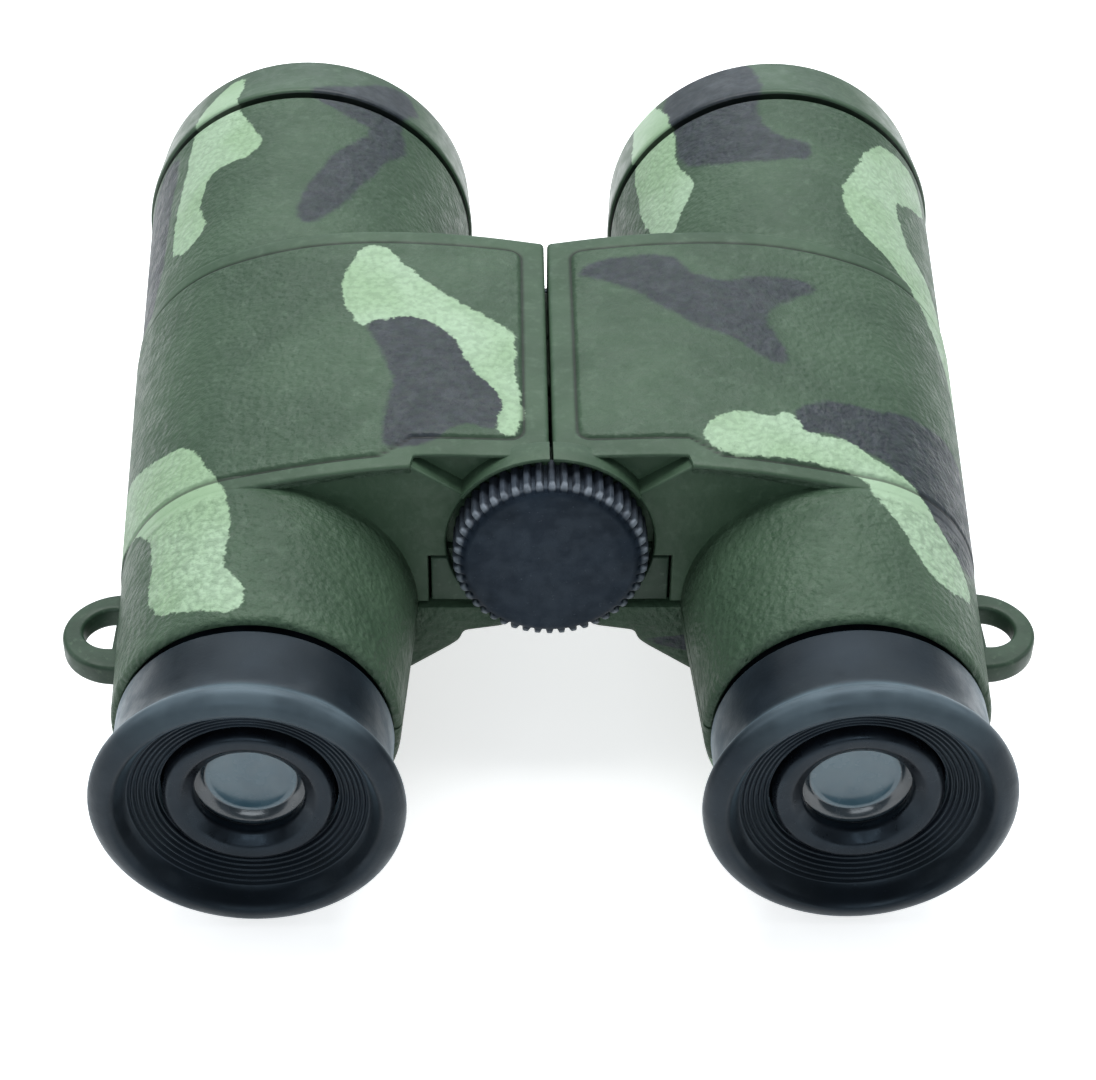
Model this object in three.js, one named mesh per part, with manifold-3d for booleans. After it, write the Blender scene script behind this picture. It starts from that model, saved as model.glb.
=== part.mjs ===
// Folding toy binoculars: two moulded barrels on a centre hinge, focused by a knob that screws in and out
// with the eyepieces. Lengths are in millimetres. While a piece is being made, X runs to the right, Y runs
// from the eyecup lips to the objective rings, and Z is up from the plane of the two barrel axes.
import * as THREE from 'three';
import { mergeVertices } from 'three/addons/utils/BufferGeometryUtils.js';
import Module from 'manifold-3d';

const wasm = await Module();
wasm.setup();

// Overall layout
const eyeSpacing = 64;
const overallLength = 124.6;
const frontRingRadius = 22.5;
const hingeHeight = 8.6;
const foldAngleClearance = 22.5; // degrees cut away each side, below the hinge
const gap = 0.3; // between pieces that meet
const wall = 1.8;

// Barrels
const barrelBack = 13.4;
const barrelFront = 114.45;
const barrelBackRadius = 15.6;
const barrelFlare = 0.0642; // growth of the radius for each millimetre forward
const eyepieceBore = 14.45;
const eyepieceBoreEnd = 46;

// Bridge between the barrels
const bridgeBack = 34;
const bridgeFront = 79.5;
const bridgeCavityBack = 38;
const deckHeight = 20;
const seamGap = 0.2; // each side of the middle plane
const recessFloor = 37; // rear wall, inside the three-cornered recess above the knob
const recessCorner = 15.4; // how far out the recess reaches, at the deck
const deckNotch = 36; // back edge of the deck, above the recess

// Focus knob, arms and travel
const knobRadius = 11;
const knobBack = 31;
const knobFront = 33.6; // of its disc
const knobSkirtFront = 35.9;
const knobSkirtBore = 9.2;
const knobWellRadius = 11.75; // round hollow in the shells and arms, behind the knob
const knobWellFront = 36.3;
const knobTeeth = 48;
const focusTravel = 5;
const armTop = 6.6;
const armReach = 13.2;
const armFront = 44.2;
const tongueBack = 41.7;
const hubRadius = 6.6;
const hubBore = 4.2;
const hubLength = 4.8;

// Hinge
const axleRadius = 3;
const knuckleRadius = 6;
const knuckleStart = 57;
const knuckleLength = 10;

// Strap lugs
const lugRadius = 6.4;
const lugThickness = 2.7;
const lugX = 48.3;
const lugY = 28.2;

// Shell screws
const screwX = 13;
const screwStations = { rear: 50.5, front: 71 };

const barrelX = eyeSpacing / 2;
const smooth = 40; // segments round a barrel
const fine = 28; // segments round a small piece

const finishes = {
  camouflage: { color: 0x4d644b, roughness: 0.55, metalness: 0 },
  blackRubber: { color: 0x17181b, roughness: 0.5, metalness: 0 },
  blackPlastic: { color: 0x14161b, roughness: 0.45, metalness: 0 },
  knobPlastic: { color: 0x1d222b, roughness: 0.6, metalness: 0 },
  glass: { color: 0x7d8c98, roughness: 0.08, metalness: 0 },
  steel: { color: 0x9b9ea3, roughness: 0.35, metalness: 1 },
};

const barrelRadius = (y) => barrelBackRadius + barrelFlare * (y - barrelBack);

// Turns closed triangle geometry into a solid, facing out whichever way it was drawn.
function solid(geometry) {
  const bare = geometry.clone();
  bare.deleteAttribute('normal');
  bare.deleteAttribute('uv');
  const merged = mergeVertices(bare, 1e-4);
  const position = merged.attributes.position.array;
  const corner = (i) => new THREE.Vector3().fromArray(position, 3 * i);
  const triangles = [];
  let volume = 0;
  for (let i = 0; i < merged.index.count; i += 3) {
    const [a, b, c] = merged.index.array.slice(i, i + 3);
    if (a !== b && b !== c && a !== c) {
      triangles.push([a, b, c]);
      volume += corner(a).dot(corner(b).cross(corner(c)));
    }
  }
  const facingOut = volume > 0 ? triangles : triangles.map(([a, b, c]) => [a, c, b]);
  return new wasm.Manifold(new wasm.Mesh({
    numProp: 3,
    vertProperties: new Float32Array(position),
    triVerts: new Uint32Array(facingOut.flat()),
  }));
}

const join = (first, ...rest) => rest.reduce((whole, piece) => whole.add(piece), first);
const cut = (first, ...rest) => rest.reduce((whole, piece) => whole.subtract(piece), first);

// A block between two opposite corners.
function block([x0, y0, z0], [x1, y1, z1]) {
  const box = new THREE.BoxGeometry(x1 - x0, y1 - y0, z1 - z0);
  return solid(box.translate((x0 + x1) / 2, (y0 + y1) / 2, (z0 + z1) / 2));
}

// A closed [radius, y] profile turned about an axis along Y through (x, z).
function turned(profile, x = 0, z = 0, segments = smooth) {
  const points = profile.map(([radius, y]) => new THREE.Vector2(radius, y));
  points.push(points[0].clone());
  return solid(new THREE.LatheGeometry(points, segments).translate(x, 0, z));
}

const rod = (radius, y0, y1, x, z, segments = fine) =>
  turned([[0, y0], [radius, y0], [radius, y1], [0, y1]], x, z, segments);
const hingeRod = (radius, y0, y1, segments = fine) => rod(radius, y0, y1, 0, hingeHeight, segments);
const hingeRing = (inner, outer, y0, y1, segments = fine) =>
  turned([[inner, y0], [outer, y0], [outer, y1], [inner, y1]], 0, hingeHeight, segments);

// An upright post, its axis along Z.
function post(radius, z0, z1, x, y, segments = fine) {
  const cylinder = new THREE.CylinderGeometry(radius, radius, z1 - z0, segments);
  return solid(cylinder.rotateX(Math.PI / 2).translate(x, y, (z0 + z1) / 2));
}

// A solid between two [x, z] outlines with the same number of points, at y0 and at y1.
function loft(backOutline, frontOutline, y0, y1) {
  const shape = new THREE.Shape(backOutline.map(([x, z]) => new THREE.Vector2(x, z)));
  const prism = new THREE.ExtrudeGeometry(shape, { depth: 1, bevelEnabled: false });
  const position = prism.attributes.position;
  for (let i = 0; i < position.count; i += 1) {
    const isNear = ([x, z]) => Math.hypot(x - position.getX(i), z - position.getY(i)) < 1e-4;
    const corner = backOutline.findIndex(isNear);
    const atFront = position.getZ(i) > 0.5;
    const [x, z] = (atFront ? frontOutline : backOutline)[corner];
    position.setXYZ(i, x, atFront ? y1 : y0, z);
  }
  return solid(prism);
}

// The space each side of the middle plane, below the hinge, that the halves need to fold.
function foldWedge(y0, y1) {
  const depth = 40;
  const x = depth * Math.tan(THREE.MathUtils.degToRad(foldAngleClearance));
  const outline = [[0, hingeHeight], [x, hingeHeight - depth], [-x, hingeHeight - depth]];
  return loft(outline, outline, y0, y1);
}

// The round body of a barrel with no hole in it, and the hollow inside it.
function barrelBody() {
  return turned([[0, barrelBack], [barrelBackRadius, barrelBack],
    [barrelRadius(barrelFront), barrelFront], [0, barrelFront]], barrelX);
}

function barrelHollow() {
  const widened = eyepieceBoreEnd + 6;
  return turned([[0, barrelBack - 1], [eyepieceBore, barrelBack - 1], [eyepieceBore, eyepieceBoreEnd],
    [barrelRadius(widened) - wall, widened], [barrelRadius(barrelFront) - wall, barrelFront],
    [barrelRadius(barrelFront) - wall, barrelFront + 1], [0, barrelFront + 1]], barrelX);
}

// The opening that the focus arm slides in: a window in the rear wall, and a slot to the eyepiece tube.
function armOpening() {
  const window = block([-1, bridgeBack - 1, -1], [armReach + gap, armFront + 0.6, armTop + gap]);
  const slotBack = tongueBack - focusTravel - 0.4;
  const slot = block([armReach - 1, slotBack, -1], [barrelX - 12, armFront + 0.6, armTop + 0.5]);
  return join(window, slot);
}

// The upper half of the bridge, from the parting plane up to the deck.
function upperBridge() {
  const bottom = -2;
  const back = [[seamGap, bottom], [seamGap, deckHeight - 0.2], [8, deckHeight], [15.6, deckHeight],
    [35.7, 16.5], [35.7, bottom]];
  const front = [[seamGap, bottom], [seamGap, deckHeight + 0.3], [9, deckHeight + 1.5],
    [27, deckHeight + 1.8], [39.5, 18.2], [39.5, bottom]];
  return loft(back, front, bridgeBack, bridgeFront);
}

function upperBridgeHollow() {
  const bottom = -3;
  const inner = seamGap + wall;
  const back = [[inner, deckHeight - 2], [14, deckHeight - 2], [30, 15.2], [30, bottom],
    [6.9, bottom], [inner, hingeHeight - 0.8]];
  const front = [[inner, deckHeight - 1.5], [24, deckHeight - 0.2], [30, deckHeight - 0.6], [30, bottom],
    [6.9, bottom], [inner, hingeHeight - 0.8]];
  return loft(back, front, bridgeCavityBack, bridgeFront - wall);
}

// The three-cornered recess in the rear wall, between the deck's edge and the knob.
function rearRecess() {
  const outline = [[-1, 18], [-1, 14.2], [7.6, 14.2], [12.7, 18]];
  const notch = [[-1, 17.9], [12.6, 17.9], [recessCorner, deckHeight], [recessCorner, 25], [-1, 25]];
  return join(loft(outline, outline, bridgeBack - 1, recessFloor),
    loft(notch, notch, bridgeBack - 1, deckNotch));
}

// The thin raised collar that arches over the knob, on the rear wall.
function knobCollar() {
  const ring = hingeRing(knobWellRadius, knobWellRadius + 0.6, bridgeBack, recessFloor + 0.5, smooth);
  const upperPart = block([seamGap, bridgeBack - 5, hingeHeight + 3], [20, recessFloor + 1, 40]);
  return ring.intersect(upperPart);
}

// The stretch of the hinge that a half's own knuckle takes; the other half's knuckle takes the next one.
function knuckleSpan(side) {
  const start = side > 0 ? knuckleStart : knuckleStart + knuckleLength + gap;
  return [start, start + knuckleLength];
}

// Room for the knob's skirt.
const knobWell = () => hingeRod(knobWellRadius, 0, knobWellFront, smooth);

function strapLugPocket() {
  const room = post(lugRadius + gap, -lugThickness / 2 - gap, lugThickness / 2 + gap, lugX, lugY);
  return room.intersect(block([lugX - 1.3, 0, -10], [lugX + 20, 60, 10]));
}

function upperShell(side) {
  const body = barrelBody();
  const bosses = Object.values(screwStations).map((y) => post(2.6, -1, deckHeight - 1, screwX, y, 16));
  const pilots = Object.values(screwStations).map((y) => post(1.4, -2, 8, screwX, y, 12));
  const hollow = cut(upperBridgeHollow(), body, ...bosses);
  const outside = join(body, cut(upperBridge(), rearRecess()), knobCollar());
  const [ownStart, ownEnd] = knuckleSpan(side);
  const [otherStart, otherEnd] = knuckleSpan(-side);
  const aboveParting = block([-20, 0, gap / 2], [80, 140, 60]);
  let shell = cut(outside, hollow, barrelHollow(), foldWedge(0, 140), armOpening(), strapLugPocket());
  shell = cut(shell, hingeRod(hubRadius + 0.7, bridgeBack - 1, knuckleStart - gap, 36), knobWell());
  shell = cut(shell, hingeRod(knuckleRadius + 0.4, otherStart - gap, otherEnd + gap));
  shell = join(shell, hingeRod(knuckleRadius, ownStart, ownEnd));
  shell = cut(shell, hingeRod(axleRadius + gap, bridgeCavityBack, bridgeFront + 1), ...pilots);
  return shell.intersect(aboveParting);
}

// The lower half of the bridge, hung from the parting plane and cut away round the hinge.
function lowerBridge() {
  const top = 2;
  const inner = [[3.2, top], [5.1, -3.6], [9.4, -3.7], [9.9, -5.2], [11, -6]];
  const back = [...inner, [22.3, -13.9], [barrelX, -13.9], [barrelX, top]];
  const front = [...inner, [17, -12.9], [barrelX, -12.9], [barrelX, top]];
  return loft(back, front, bridgeBack, bridgeFront);
}

function lowerBridgeHollow() {
  const top = 3;
  const inner = [[5.4, top], [6.8, -1.9], [10.4, -2], [12.2, -4.7]];
  const back = [...inner, [22.3, -11.8], [30, -11.8], [30, top]];
  const front = [...inner, [18.5, -11.2], [30, -11.2], [30, top]];
  return loft(back, front, bridgeBack + wall, bridgeFront - wall);
}

function lowerShell() {
  const body = barrelBody();
  const stations = Object.values(screwStations);
  const bosses = stations.map((y) => post(3.7, -20, 1, screwX, y, 20).intersect(lowerBridge()));
  const counterbores = stations.map((y) => post(2.8, -20, -5.2, screwX, y, 20));
  const clearances = stations.map((y) => post(1.5, -8, 2, screwX, y, 12));
  const belowParting = block([-20, 0, -60], [80, 140, -gap / 2]);
  const hollow = cut(lowerBridgeHollow(), body, ...bosses);
  const outside = join(body, lowerBridge());
  const shell = cut(outside, hollow, barrelHollow(), foldWedge(0, 140), strapLugPocket(), knobWell(),
    ...counterbores, ...clearances);
  return shell.intersect(belowParting);
}

// The ring clamped in the side of a barrel for a neck strap.
function strapLug() {
  const eye = post(3.6, -5, 5, lugX + 0.9, lugY).intersect(block([lugX + 0.6, 0, -5], [80, 60, 5]));
  const disc = post(lugRadius, -lugThickness / 2, lugThickness / 2, lugX, lugY);
  return cut(disc, eye).intersect(block([lugX - 1, 0, -5], [80, 60, 5]));
}

// A ring round the objective: the hood in front, the lens seat behind.
function frontRing() {
  const back = barrelFront + gap;
  const outer = frontRingRadius;
  return turned([[outer - 0.15, back], [outer, back + 0.6], [outer - 0.6, overallLength - 0.7],
    [outer - 1.2, overallLength], [19.6, overallLength], [19.1, 119], [20.3, 119], [20.3, back]], barrelX);
}

const objectiveLens = () => turned([[0, 115.2], [10, 115.6], [20, 116.6], [20, 118.4], [10, 119.5],
  [0, 119.9]], barrelX, 0, 32);
const lensRetainer = () => turned([[18, 113.4], [20, 113.4], [20, 115.9], [18, 115.9]], barrelX, 0, 32);
const lightBaffle = () => turned([[14, 91], [18.4, 91], [18.4, 92.2], [14, 92.2]], barrelX, 0, 32);

// The black tube that carries the eye lens and slides in the barrel.
const eyepieceTube = () => turned([[12.9, 7.1], [12.9, barrelBack], [14.2, barrelBack], [14.2, 44],
  [12.6, 44], [12.6, 15], [11.3, 13.6], [11.3, 9.6], [6.2, 9.6], [6.2, 8], [8.4, 8], [8.4, 7.1]],
barrelX, 0, 36);

// The rubber cup: flared lip, waisted skirt, and a bowl that steps down to the eye lens.
const eyecup = () => turned([[14.3, 0], [15.6, 0.35], [16.6, 1.6], [16.4, 2.5], [15.4, 3.8], [15, 5],
  [14.9, 9.2], [14.95, 13.05], [13.2, 13.05], [13.2, 5.4], [9.4, 5.4], [9.4, 3.7], [10.4, 3.4],
  [11.6, 2.95], [12.8, 2.4], [13.2, 1.7], [13.9, 0.3]], barrelX, 0, 36);

const ocularRing = () => turned([[9.05, 3], [8.5, 2.5], [7.2, 2.6], [5.8, 3.7], [5.8, 5], [7.5, 5],
  [7.5, 6.8], [12.7, 6.8], [12.7, 5.7], [9.05, 5.7]], barrelX, 0, 32);
const eyeLens = () => turned([[0, 5.3], [4, 5.4], [7.2, 5.8], [7.2, 7.6], [0, 7.6]], barrelX, 0, 28);

// The arm that carries an eyepiece: a hub on the focus bush, a bar in the window, a tongue to the tube.
function focusArm(side) {
  const hubStart = (order) => bridgeBack + 0.2 + order * (hubLength + 0.4);
  const own = hubStart(side > 0 ? 1 : 0);
  const other = hubStart(side > 0 ? 0 : 1);
  const bar = block([2, bridgeBack, 0.45], [armReach, armFront, armTop]);
  const tongue = block([armReach - 2, tongueBack, 0.45], [barrelX - 12.2, armFront, armTop - 0.4]);
  const hub = hingeRod(hubRadius, own, own + hubLength);
  const arm = cut(join(bar, tongue), foldWedge(0, 140),
    hingeRod(hubRadius + 0.35, other - 0.35, other + hubLength + 0.35),
    rod(14.2 + gap, 0, 140, barrelX, 0, smooth), knobWell());
  return cut(join(arm, hub), hingeRod(hubBore, 0, 140));
}

function shellScrew(y) {
  const head = post(2.4, -7.1, -5.5, screwX, y, 20);
  const slot = block([screwX - 3, y - 0.35, -8], [screwX + 3, y + 0.35, -6.4]);
  return join(cut(head, slot), post(1.1, -5.6, 7, screwX, y, 12));
}

function focusKnob() {
  const outline = new THREE.Shape();
  const steps = [[0, 1], [0.3, 1], [0.5, 0.955], [0.8, 0.955]];
  for (let tooth = 0; tooth < knobTeeth; tooth += 1) {
    for (const [part, scale] of steps) {
      const angle = (2 * Math.PI * (tooth + part)) / knobTeeth;
      const radius = knobRadius * scale;
      outline[tooth + part === 0 ? 'moveTo' : 'lineTo'](radius * Math.cos(angle), radius * Math.sin(angle));
    }
  }
  const depth = knobSkirtFront - knobBack;
  const teeth = new THREE.ExtrudeGeometry(outline, { depth, bevelEnabled: false });
  const bar = solid(teeth.rotateX(Math.PI / 2).translate(0, knobSkirtFront, hingeHeight));
  const rim = cut(bar, hingeRod(knobSkirtBore, knobFront, knobSkirtFront + 1));
  const envelope = turned([[0, knobBack], [9.6, knobBack], [10, knobBack + 0.25], [10.1, knobBack + 0.3],
    [knobRadius + 0.1, knobBack + 1.1], [knobRadius + 0.1, knobSkirtFront], [0, knobSkirtFront]],
  0, hingeHeight);
  return rim.intersect(envelope);
}

const focusScrew = () => turned([[0, knobFront + gap], [2.4, knobFront + gap], [2.4, 48], [2, 48.5],
  [2, 63.4], [1.4, 64], [0, 64]], 0, hingeHeight, 24);
const retainingRing = () => hingeRing(2.7, 4.2, 45.9, 46.9, 24);
const focusBush = () => turned([[2.7, 34], [3.9, 34], [3.9, 44.6], [5.8, 44.6], [5.8, 45.6], [2.7, 45.6]],
  0, hingeHeight);
const focusNut = () => cut(hingeRod(5.2, 52, 56, 6), hingeRod(2.3, 50, 58));
const hingeAxle = () => cut(hingeRod(axleRadius, 56.3, bridgeFront), hingeRod(2.3, 50, 68));
const hingeCap = () => turned([[0, bridgeFront + gap], [4.4, bridgeFront + gap], [4.4, bridgeFront + 1.2],
  [3.4, bridgeFront + 1.9], [0, bridgeFront + 2.1]], 0, hingeHeight);

// A named mesh of a solid, mirrored to the left of the middle plane when side is -1.
function piece(name, shape, finish, side = 1) {
  const { vertProperties, triVerts } = shape.getMesh();
  const geometry = new THREE.BufferGeometry();
  geometry.setAttribute('position', new THREE.BufferAttribute(new Float32Array(vertProperties), 3));
  const index = Array.from(triVerts);
  if (side < 0) {
    geometry.scale(-1, 1, 1);
    index.reverse();
  }
  geometry.setIndex(index);
  geometry.computeVertexNormals();
  const mesh = new THREE.Mesh(geometry, new THREE.MeshStandardMaterial(finishes[finish]));
  mesh.name = name;
  return mesh;
}

const binoculars = new THREE.Group();
binoculars.position.set(0, -overallLength / 2, frontRingRadius);

for (const [sideName, side] of [['left', -1], ['right', 1]]) {
  const named = (name, shape, finish) => binoculars.add(piece(`${sideName}_${name}`, shape, finish, side));
  named('upper_shell', upperShell(side), 'camouflage');
  named('lower_shell', lowerShell(), 'camouflage');
  named('front_ring', frontRing(), 'camouflage');
  named('strap_lug', strapLug(), 'camouflage');
  named('objective_lens', objectiveLens(), 'glass');
  named('lens_retainer', lensRetainer(), 'blackPlastic');
  named('light_baffle', lightBaffle(), 'blackPlastic');
  named('eyepiece_tube', eyepieceTube(), 'blackPlastic');
  named('eyecup', eyecup(), 'blackRubber');
  named('ocular_ring', ocularRing(), 'blackPlastic');
  named('eye_lens', eyeLens(), 'glass');
  named('focus_arm', focusArm(side), 'camouflage');
  for (const [place, y] of Object.entries(screwStations)) {
    named(`${place}_shell_screw`, shellScrew(y), 'steel');
  }
}

binoculars.add(
  piece('focus_knob', focusKnob(), 'knobPlastic'),
  piece('focus_screw', focusScrew(), 'steel'),
  piece('retaining_ring', retainingRing(), 'steel'),
  piece('focus_bush', focusBush(), 'blackPlastic'),
  piece('focus_nut', focusNut(), 'steel'),
  piece('hinge_axle', hingeAxle(), 'steel'),
  piece('hinge_cap', hingeCap(), 'blackPlastic'),
);

export default binoculars;
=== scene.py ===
"""Camouflage binoculars: the visual model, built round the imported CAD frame.

Shapes are drawn in millimetres on the right-hand half: X to the right of the middle plane,
Y forward from the eyecup lips, Z up from the barrel axes. The left half is their mirror image.
"""
import math

import bmesh
import bpy
import numpy as np
from mathutils import Matrix, Vector
from mathutils.geometry import tessellate_polygon
from mathutils.noise import noise as value_noise


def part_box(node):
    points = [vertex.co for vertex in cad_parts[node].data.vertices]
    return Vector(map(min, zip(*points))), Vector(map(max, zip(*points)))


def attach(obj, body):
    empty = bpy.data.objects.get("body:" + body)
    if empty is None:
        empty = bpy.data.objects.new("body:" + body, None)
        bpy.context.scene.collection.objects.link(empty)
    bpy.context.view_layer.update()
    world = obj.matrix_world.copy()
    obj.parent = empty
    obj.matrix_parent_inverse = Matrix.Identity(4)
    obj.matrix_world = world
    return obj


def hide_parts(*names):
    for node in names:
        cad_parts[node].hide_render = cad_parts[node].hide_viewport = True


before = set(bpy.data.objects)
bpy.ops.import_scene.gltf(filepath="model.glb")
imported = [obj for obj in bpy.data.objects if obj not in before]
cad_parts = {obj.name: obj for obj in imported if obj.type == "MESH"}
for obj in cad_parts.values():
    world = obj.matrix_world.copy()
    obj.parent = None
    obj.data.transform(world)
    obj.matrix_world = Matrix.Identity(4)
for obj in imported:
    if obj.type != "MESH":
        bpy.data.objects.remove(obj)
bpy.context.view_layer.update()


# ---------------- places taken from the frame

MM = 0.001


def middle(node, axis):
    low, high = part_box(node)
    return (low[axis] + high[axis]) / 2


LIP_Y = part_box("right_eyecup")[0].y
AXIS_Z = middle("right_front_ring", 2)
BARREL_X = middle("right_front_ring", 0) / MM
HINGE_Z = (middle("focus_knob", 2) - AXIS_Z) / MM


def span(node, axis):
    """Where a CAD node starts and ends along one axis, in this script's millimetres."""
    zero = (0, LIP_Y, AXIS_Z)[axis]
    low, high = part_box(node)
    return (low[axis] - zero) / MM, (high[axis] - zero) / MM


BARREL_BACK, BARREL_FRONT = span("right_upper_shell", 1)
RING_BACK, RING_FRONT = span("right_front_ring", 1)
RING_RADIUS = span("right_front_ring", 2)[1]
KNOB_BACK, KNOB_FRONT = span("focus_knob", 1)
KNOB_RADIUS = span("focus_knob", 2)[1] - HINGE_Z
LUG_TOP = span("right_strap_lug", 2)[1]
LUG_Y = middle("right_strap_lug", 1) / MM - LIP_Y / MM
LUG_OUTSIDE = span("right_strap_lug", 0)[1]
ARM_LOW, ARM_FRONT = span("right_focus_arm", 2)[0], span("right_focus_arm", 1)[1]

# Driving sizes of the shells, the same as in the CAD part.
TUBE_END = 113.5  # where the tube steps down into the dark joint behind the ring
BACK_RADIUS = 15.6
FLARE = 0.0642
WALL = 1.8
SKIN = 1.0  # thickness of the bridge's visible skin
PARTING = 0.15  # half the gap between the upper and the lower shells
SEAM = 0.2  # half the gap between the two halves
SEAM_FILLET = 0.6  # rounding of the deck's edge along that gap
BRIDGE_BACK, BRIDGE_FRONT = 34.0, 79.5
FOLD_SLOPE = math.tan(math.radians(22.5))
ARM_REACH, ARM_TOP = 13.5, 6.6
HUB_RADIUS, HUB_BORE, HUB_LENGTH = 6.6, 4.2, 4.8
EYE_BORE, EYE_BORE_END = 14.45, 46.0
REAR_FACE = 34.4  # the rear wall, just inside the deck's back edge
RECESS_CORNER, RECESS_FLOOR = 15.4, 37.0  # the three-cornered recess above the knob
DECK_NOTCH = 36.0  # the deck's back edge above the recess
KNOB_WELL, KNOB_WELL_FLOOR = 11.75, 36.3  # round hollow behind the knob
WALL_INTO_BARREL = 0.6  # how far the bridge's walls reach into a barrel's wall
AXLE_HOLE = 3.3
KNUCKLE_START = {"right": 57.0, "left": 67.3}
KNUCKLE_RADIUS, KNUCKLE_LENGTH = 6, 10
EDGE_ROWS = [0, 0.03, 0.1, 0.22, 0.45]  # sections where the bridge's skin curls in at its ends


def barrel_radius(y):
    return BACK_RADIUS + FLARE * (y - BARREL_BACK)


# ---------------- mesh tools

class Shape:
    """Closed surfaces collected into one mesh."""

    def __init__(self):
        self.points, self.faces = [], []

    def add(self, points, faces):
        start = len(self.points)
        self.points += [tuple(p) for p in points]
        self.faces += [tuple(start + i for i in face) for face in faces]

    def grid(self, rows, loop=False, ring=False, caps=False):
        """Quads between rows of points; loop closes each row, ring joins the last row to the first."""
        count, width = len(rows), len(rows[0])
        faces = []
        for i in range(count if ring else count - 1):
            for j in range(width if loop else width - 1):
                a, b = i * width, ((i + 1) % count) * width
                k = (j + 1) % width
                faces.append((a + j, a + k, b + k, b + j))
        if caps:
            faces.append(tuple(range(width)))
            faces.append(tuple(range((count - 1) * width, count * width)))
        self.add([p for row in rows for p in row], faces)


def arc(cx, cz, radius, start, end, steps):
    """Points on a circle, angles in degrees, both ends included."""
    angles = [math.radians(start + (end - start) * i / steps) for i in range(steps + 1)]
    return [(cx + radius * math.cos(a), cz + radius * math.sin(a)) for a in angles]


def rounded(outline, radius, steps=4, closed=True):
    """The outline with each corner replaced by a small curve."""
    result, count = [], len(outline)
    for i, corner in enumerate(outline):
        here = Vector(corner)
        back, ahead = Vector(outline[i - 1]) - here, Vector(outline[(i + 1) % count]) - here
        at_end = not closed and i in (0, count - 1)
        if at_end or back.angle(-ahead, 0) < math.radians(9):
            result.append(tuple(here))
            continue
        reach = min(radius, 0.45 * back.length, 0.45 * ahead.length)
        first, last = here + back.normalized() * reach, here + ahead.normalized() * reach
        for j in range(steps + 1):
            t = j / steps
            result.append(tuple((1 - t) ** 2 * first + 2 * t * (1 - t) * here + t * t * last))
    return result


def turned(shape, profile, x=BARREL_X, z=0.0, steps=128, start=0.0, end=360.0):
    """Turns a closed (radius, y) profile about an axis along Y."""
    full = end - start >= 360
    rows = []
    for i in range(steps if full else steps + 1):
        a = math.radians(start + (end - start) * i / steps)
        rows.append([(x + r * math.cos(a), y, z + r * math.sin(a)) for r, y in profile])
    shape.grid(rows, loop=True, ring=full, caps=not full)


def anticlockwise(loop):
    area = sum(a[0] * b[1] - b[0] * a[1] for a, b in zip(loop, loop[1:] + loop[:1]))
    return loop if area > 0 else loop[::-1]


def inset(loop, distance):
    """Moves each side of the loop to its left by the distance."""
    result, count = [], len(loop)
    for i in range(count):
        here = Vector(loop[i])
        before, after = here - Vector(loop[i - 1]), Vector(loop[(i + 1) % count]) - here
        n1, n2 = Vector((-before.y, before.x)).normalized(), Vector((-after.y, after.x)).normalized()
        result.append(tuple(here + (n1 + n2) * distance / max(0.4, 1 + n1.dot(n2))))
    return result


def slab(shape, outline, low, high, edge=0.25, holes=(), place=lambda a, b, h: (a, h, b), steps=3):
    """A plate with rounded edges and holes; place puts (a, b, height) into space."""
    loops = [anticlockwise(outline)] + [anticlockwise(hole)[::-1] for hole in holes]
    turns = [math.pi / 2 * i / steps for i in range(steps + 1)]
    levels = [(edge * (1 - math.sin(t)), low + edge * (1 - math.cos(t))) for t in turns]
    levels += [(inward, low + high - height) for inward, height in reversed(levels)]
    ends = {0: [], len(levels) - 1: []}
    for loop in loops:
        rows = [inset(loop, inward) for inward, _ in levels]
        for i in ends:
            ends[i].append(rows[i])
        placed = [[place(a, b, height) for a, b in row] for row, (_, height) in zip(rows, levels)]
        shape.grid(placed, loop=True)
    for i, flat_loops in ends.items():
        flat = [[Vector((a, b, 0)) for a, b in loop] for loop in flat_loops]
        points = [place(p.x, p.y, levels[i][1]) for loop in flat for p in loop]
        shape.add(points, tessellate_polygon(flat))


def upward(a, b, height):
    """Places a plate drawn in X and Y."""
    return (a, b, height)


# ---------------- camouflage

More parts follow.
